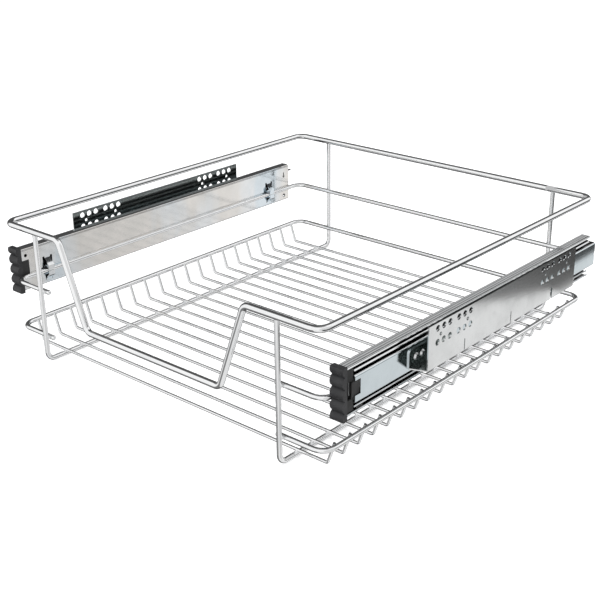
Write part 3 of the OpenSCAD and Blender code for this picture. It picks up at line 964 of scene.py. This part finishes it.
@dataclass(frozen=True, kw_only=True)
class MemberFinish(MetalFinish):
    """The slide members' zinc: bloom on the webs, painted reflection lines on the flanges, and
    painted shade in the races and behind the clips' windows.
    """

    # Distances named across are from the basket's middle plane
    blue_across: Pair = (0.2178, 0.2184)
    blue: Colour = (0.79, 0.855, 0.88)
    # The passivated bloom on the basket members' webs, warm in patches and cool in others
    web_across: Pair = (0.2082, 0.2078)
    bloom_stretch: Point = (1.0, 0.6, 0.25)
    bloom_scale: float = 24.0
    bloom_detail: float = 3.0
    warm: Colour = (1.0, 0.95, 0.9)
    warm_from: Pair = (0.4, 0.56)
    cool: Colour = (0.9, 0.96, 1.0)
    cool_from: Pair = (0.42, 0.34)
    # Painted reflection lines, dark lines that stand in for the reflections of the flanges' rolled
    # curvature: how far above and below the slide's middle, how level, and where across
    slide_middle: float = 0.0824
    flange_heights: Pair = (0.0222, 0.0224)
    level_from: Pair = (0.8, 0.95)
    reflection_lines_across: Pair = (0.2101, 0.213)
    reflection_line_half: float = 0.00035
    reflection_line_colour: Colour = (0.3, 0.31, 0.32)
    reflection_line_roughness: float = 0.3
    # The painted shade in the races, above and below the slide's middle
    race_heights: Pair = (0.0119, 0.0189)
    race_across: Pair = (0.2064, 0.2166)
    painted_shade: Colour = (0.008, 0.008, 0.009)
    painted_shade_roughness: float = 0.4
    # The painted shade behind the clips' windows
    window_across: Pair = (0.2074, 0.2116)
    window_height: float = 0.0757
    window_half_height: float = 0.016
    window_depths: Pair = (-0.176, 0.162)
    window_half_depth: float = 0.014
    window_soft: float = 0.001

    def mark(self, skin: Skin) -> None:
        """Add the bluish cast of the cabinet's member, the bloom, the painted reflection lines and
        the painted shade.

        Args:
            skin: The surface so far.
        """
        tree = skin.tree
        across, along, height = skin.place()
        skin.tint(tree.fade(across, *self.blue_across), self.blue)
        web = tree.fade(across, *self.web_across)
        stretch = {"Vector": tree.place(), "Scale": self.bloom_stretch}
        drawn = tree.add("ShaderNodeMapping", stretch).outputs[0]
        bloom = tree.noise(drawn, self.bloom_scale, self.bloom_detail)
        skin.tint(tree.times(web, tree.fade(bloom, *self.warm_from)), self.warm)
        skin.tint(tree.times(web, tree.fade(bloom, *self.cool_from)), self.cool)
        above = skin.away(height, self.slide_middle)
        level = tree.fade(skin.facing("Z"), *self.level_from)
        on_flange = tree.times(tree.fade(above, *self.flange_heights), level)
        # Painted reflection lines: dark grey stripes on the flanges' tops
        for middle in self.reflection_lines_across:
            line = skin.near(across, middle, self.reflection_line_half, self.reflection_line_half)
            skin.stain(tree.times(line, on_flange), self.reflection_line_colour, self.reflection_line_roughness)
        # Painted shade: the races between the members are coloured near-black
        race_shade = tree.times(
            skin.between(above, *self.race_heights), skin.between(across, *self.race_across)
        )
        skin.stain(race_shade, self.painted_shade, self.painted_shade_roughness)
        # Painted shade: near-black on the middle member behind the clips' windows
        beside = skin.near(height, self.window_height, self.window_half_height, self.window_soft)
        behind = tree.times(skin.between(across, *self.window_across), beside)
        for depth in self.window_depths:
            within = skin.near(along, depth, self.window_half_depth, self.window_soft)
            skin.stain(tree.times(behind, within), self.painted_shade, self.painted_shade_roughness)


@dataclass(frozen=True, kw_only=True)
class BracketFinish(MetalFinish):
    """The brackets' zinc, with painted shade tinted onto the inner faces."""

    inside_across: Pair = (0.2346, 0.2342)
    # How little the surface faces along Y where the painted shade lies
    side_from: Pair = (0.6, 0.4)
    # The tint of the painted shade on the inner faces
    film: Colour = (0.62, 0.66, 0.65)

    def mark(self, skin: Skin) -> None:
        """Add the painted shade on the inner faces.

        Args:
            skin: The surface so far.
        """
        # Painted shade: the bracket's inner faces are tinted darker
        across, _, _ = skin.place()
        inside = skin.tree.fade(across, *self.inside_across)
        flank = skin.tree.fade(skin.facing("Y"), *self.side_from)
        skin.tint(skin.tree.times(inside, flank), self.film)


@dataclass(frozen=True, kw_only=True)
class MouldedFinish(Finish):
    """A moulded black surface with grain and a film of dust."""

    grain_scale: float

    def effect(self) -> tuple[bpy.types.NodeTree, dict[str, Any]]:
        """Lay the surface by the shared moulding.

        Returns:
            The moulding's group, and the values it is given.
        """
        return Effects.moulding(), {
            "Clean": rgba(self.fresh), "Worn": rgba(self.worn),
            "Grain Scale": self.grain_scale, "Roughness": self.roughness,
        }


FINISHES: dict[Slot, Finish] = {
    Slot.WIRE: MetalFinish(
        fresh=(0.93, 0.935, 0.94), worn=(0.87, 0.88, 0.89), roughness=0.08, haze=0.08,
        line_stretch=(0.3, 0.3, 0.3), relief=0.03,
    ),
    Slot.MEMBER: MemberFinish(
        fresh=(0.84, 0.855, 0.865), worn=(0.77, 0.79, 0.8), roughness=0.05, haze=0.07,
        line_stretch=(1.0, 0.02, 1.0), relief=0.04,
    ),
    Slot.BRACKET: BracketFinish(
        fresh=(0.82, 0.83, 0.83), worn=(0.72, 0.73, 0.73), roughness=0.09, haze=0.1,
        line_stretch=(1.0, 0.05, 1.0), relief=0.06,
    ),
    Slot.RIVET: MetalFinish(
        fresh=(0.75, 0.76, 0.77), worn=(0.6, 0.6, 0.6), roughness=0.2, haze=0.15,
        relief=0.1,
    ),
    Slot.BALL: MetalFinish(
        fresh=(0.8, 0.8, 0.81), worn=(0.7, 0.7, 0.7), roughness=0.08, haze=0.1,
        relief=0.02,
    ),
    Slot.CAGE: MouldedFinish(
        fresh=(0.012, 0.012, 0.013), worn=(0.03, 0.03, 0.03), roughness=0.5,
        grain_scale=1500.0, relief=0.2,
    ),
    Slot.CAP: MouldedFinish(
        fresh=(0.02, 0.02, 0.022), worn=(0.04, 0.04, 0.042), roughness=0.5,
        grain_scale=2200.0, relief=0.3,
    ),
    Slot.BUMPER: MouldedFinish(
        fresh=(0.015, 0.015, 0.015), worn=(0.035, 0.035, 0.035), roughness=0.62,
        grain_scale=1800.0, relief=0.35,
    ),
}


@dataclass
class Finishes:
    """The materials, one for each slot of the record."""

    made: dict[Slot, bpy.types.Material] = field(default_factory=dict)

    def build(self) -> None:
        """Make every material and put it on the frame's nodes."""
        self.made = {slot: finish.make(slot.value) for slot, finish in FINISHES.items()}
        for part in frame["record"]["subparts"]:
            node = frame["nodes"][part["node"]]
            node.data.materials.clear()
            node.data.materials.append(self.made[Slot(part["material_slot"])])
        log.info("dressed %d nodes", len(frame["nodes"]))


# --------------------------------------------------------------------------- pieces


@dataclass(frozen=True)
class SoftEdges:
    """Frame nodes made of bent or pressed sheet, with their sheared edges broken."""

    edge: float = 0.00018
    edge_segments: int = 2
    # How near a corner is to the place that is looked for
    near: float = 0.0001
    # The bends of the bracket's legs: their radius, and how long each is at least
    bend: float = 0.0009
    bend_segments: int = 4
    bend_length: float = 0.02
    # The stop tab's outer end, whose upright edges are rounded most: where, and how tall at least
    tab_across: float = 0.21364
    tab_behind: float = -0.1981
    tab_height: float = 0.01
    tab_edge: float = 0.0009
    tab_segments: int = 3

    def member(self, kind: str, side: Side, body: str, finishes: Finishes) -> None:
        """Dress one slide member.

        Args:
            kind: The member's name without its side.
            side: The side that it is on.
            body: The body that it rides on.
            finishes: The materials.
        """
        node = f"{kind}_{side.word}"
        piece = Bench.copy_of(node, f"{node}_rolled")

        def is_tab_end(a: Vector, b: Vector) -> bool:
            """Whether an edge stands at the stop tab's outer end."""
            upright = abs(a.z - b.z) > self.tab_height and max(a.y, b.y) < self.tab_behind
            return upright and abs(abs(a.x) - self.tab_across) < self.near

        Bench.bevel_where(piece, is_tab_end, self.tab_edge, self.tab_segments)
        Bench.round_edges(piece, self.edge, self.edge_segments)
        Bench.finish(piece, body, Slot.MEMBER, finishes, [node])

    def bracket(self, side: Side, finishes: Finishes) -> None:
        """Dress one bracket, with its legs' bends rounded.

        Args:
            side: The side that it is on.
            finishes: The materials.
        """
        node = f"bracket_{side.word}"
        low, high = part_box(node)
        piece = Bench.copy_of(node, f"{node}_pressed")
        corners = {round(low.x, 5), round(high.x, 5)}

        def is_bend(a: Vector, b: Vector) -> bool:
            """Whether an edge is a bend at a leg's foot."""
            at_foot = abs(a.y - b.y) > self.bend_length and max(a.z, b.z) < low.z + self.near
            return at_foot and round(a.x, 5) in corners

        Bench.bevel_where(piece, is_bend, self.bend, self.bend_segments)
        Bench.round_edges(piece, self.edge, self.edge_segments)
        Bench.finish(piece, "cabinet_side", Slot.BRACKET, finishes, [node])


@dataclass(frozen=True)
class EndCap:
    """The black cap on a slide's front end: five soft grip ribs on a plate."""

    ribs: int = 5
    rib_sides: int = 48
    rib_share: float = 0.56
    # How far the first and last rib's middles are from the cap's top and bottom
    edge: float = 0.0027
    # The gap between the cap's back and the member's end
    gap: float = 0.00002
    # The trimming box: how far it passes the cap's sides, and its rounded front
    over: float = 0.001
    near: float = 0.0001
    corner: float = 0.0016
    corner_segments: int = 5
    # The groove that the middle ring's wire lies in
    groove: float = 0.0027
    groove_length: float = 0.03
    soft: float = 0.0007
    soft_segments: int = 3
    sharp_deg: float = 50.0
    smooth_deg: float = 40.0

    def build(self, side: Side, finishes: Finishes) -> None:
        """Model the cap over its node.

        Args:
            side: The side that it is on.
            finishes: The materials.
        """
        node = f"end_cap_{side.word}"
        low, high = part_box(node)
        member_low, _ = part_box(f"basket_member_{side.word}")
        back = member_low.y - self.gap
        middle = (low + high) / 2
        pitch = (high.z - low.z - 2 * self.edge) / (self.ribs - 1)
        radius = self.rib_share * pitch
        start = Vector((low.x, low.y + radius / 2, low.z))
        cap = Bench.block(f"{node}_ribbed", start, Vector((high.x, back, high.z)))
        for i in range(self.ribs):
            z = low.z + self.edge + i * pitch
            place = Vector((middle.x, low.y + radius, z))
            rib = Bench.rod("rib", place, "X", radius, high.x - low.x, self.rib_sides)
            Bench.cut(cap, rib, "UNION")
        trim = Bench.block(
            "trim",
            Vector((low.x - self.over, low.y, low.z)),
            Vector((high.x + self.over, back, high.z)),
        )

        def is_front(a: Vector, b: Vector) -> bool:
            """Whether an edge runs across the trimming box's front."""
            return abs(a.x - b.x) > self.over and max(a.y, b.y) < low.y + self.near

        Bench.bevel_where(trim, is_front, self.corner, self.corner_segments)
        Bench.cut(cap, trim, "INTERSECT")
        Bench.cut(cap, self._groove(side, middle.y))
        Bench.round_edges(cap, self.soft, self.soft_segments, self.sharp_deg)
        Bench.finish(cap, "basket", Slot.CAP, finishes, [node], self.smooth_deg)

    def _groove(self, side: Side, depth: float) -> bpy.types.Object:
        """Make the bar that cuts the middle ring's groove.

        Args:
            side: The side that the cap is on.
            depth: The Y of the cap's middle.

        Returns:
            The bar.
        """
        low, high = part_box("middle_ring")
        edge = low.x if side is Side.LEFT else high.x
        x = edge - side.value * (high.z - low.z) / 2
        place = Vector((x, depth, (low.z + high.z) / 2))
        return Bench.rod("groove", place, "Y", self.groove, self.groove_length)


@dataclass(frozen=True)
class Bumper:
    """The rubber round a slide's stop tab, with its edges moulded round."""

    soft: float = 0.0003
    segments: int = 3

    def build(self, side: Side, finishes: Finishes) -> None:
        """Dress the bumper.

        Args:
            side: The side that it is on.
            finishes: The materials.
        """
        node = f"bumper_{side.word}"
        piece = Bench.copy_of(node, f"{node}_moulded")
        Bench.round_edges(piece, self.soft, self.segments)
        Bench.finish(piece, "basket", Slot.BUMPER, finishes, [node])


@dataclass(frozen=True)
class Welds:
    """The small beads where the basket's wires are welded to each other."""

    bead: float = 0.0015
    segments: int = 10
    rings: int = 6
    rough: float = 0.00012
    seed: int = 7
    smooth_deg: float = 80.0
    # Turns each drop by its place, so that no two look alike
    turn: float = 977.0
    # A bead's size along X, Y and Z, in beads: at a runner, at the lower ring and at a post
    runner_stretch: Point = (1.3, 1.2, 0.55)
    end_stretch: Point = (0.55, 0.9, 1.0)
    post_stretch: Point = (1.5, 0.55, 1.5)
    # How far a floor wire's bead is inside its end, and how far down the lower ring in its widths
    end_inset: float = 0.0001
    end_down: float = 0.6

    def build(self, finishes: Finishes) -> None:
        """Set a bead at every crossing.

        Args:
            finishes: The materials.
        """
        runner_x = {}
        for side in Side:
            low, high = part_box(f"runner_frame_{side.word}")
            runner_x[side] = (low.x + high.x) / 2
        ring_low, ring_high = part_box("lower_ring")
        end_z = ring_high.z - self.end_down * (ring_high.z - ring_low.z)
        crossings: list[Matrix] = []
        ends: list[Matrix] = []
        for wire in sorted(name for name in frame["nodes"] if name.startswith("floor_wire")):
            low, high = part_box(wire)
            y = (low.y + high.y) / 2
            for side, x in runner_x.items():
                end_x = side.value * (high.x - self.end_inset)
                crossings.append(self._at((x, y, low.z), self.runner_stretch, y))
                ends.append(self._at((end_x, y, end_z), self.end_stretch, y))
        posts: list[Matrix] = []
        for x in runner_x.values():
            for ring in ("middle_ring", "lower_ring"):
                low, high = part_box(ring)
                for y in (low.y, high.y):
                    place = (x, y, (low.z + high.z) / 2)
                    posts.append(self._at(place, self.post_stretch, x + y))
        welds = {"floor_welds": crossings, "ring_welds": ends, "post_welds": posts}
        for name, places in welds.items():
            piece = Bench.copies(self._bead(), name, places)
            Bench.finish(piece, "basket", Slot.WIRE, finishes, smooth_deg=self.smooth_deg)

    def _bead(self) -> bpy.types.Object:
        """Model one bead: a lumpy drop.

        Returns:
            The bead, at the origin.
        """
        Bench.clear()
        bpy.ops.mesh.primitive_uv_sphere_add(
            segments=self.segments, ring_count=self.rings, radius=self.bead
        )
        bead = bpy.context.active_object
        Bench.edit(bead, "VERT")
        bpy.ops.mesh.select_all(action="SELECT")
        bpy.ops.transform.vertex_random(offset=self.rough, seed=self.seed)
        bpy.ops.object.mode_set(mode="OBJECT")
        return bead

    def _at(self, place: Point, stretch: Point, key: float) -> Matrix:
        """Where a bead goes.

        Args:
            place: Its middle.
            stretch: Its size along each axis, in beads.
            key: A number of its own, which turns it.

        Returns:
            The bead's matrix.
        """
        return (
            Matrix.Translation(place)
            @ Matrix.Diagonal((*stretch, 1.0))
            @ Matrix.Rotation(key * self.turn, 4, "Z")
        )


def main() -> None:
    """Build the camera, the studio, the finishes and every piece in order."""
    logging.basicConfig(level=logging.INFO, format="%(name)s: %(message)s")
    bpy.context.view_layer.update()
    Viewpoint().build()
    Studio().build()
    finishes = Finishes()
    finishes.build()
    soft = SoftEdges()
    for side in Side:
        soft.member("basket_member", side, "basket", finishes)
        soft.member("middle_member", side, f"middle_{side.word}", finishes)
        soft.member("cabinet_member", side, "cabinet_side", finishes)
        soft.bracket(side, finishes)
        EndCap().build(side, finishes)
        Bumper().build(side, finishes)
    Welds().build(finishes)


if __name__ == "__main__":
    main()
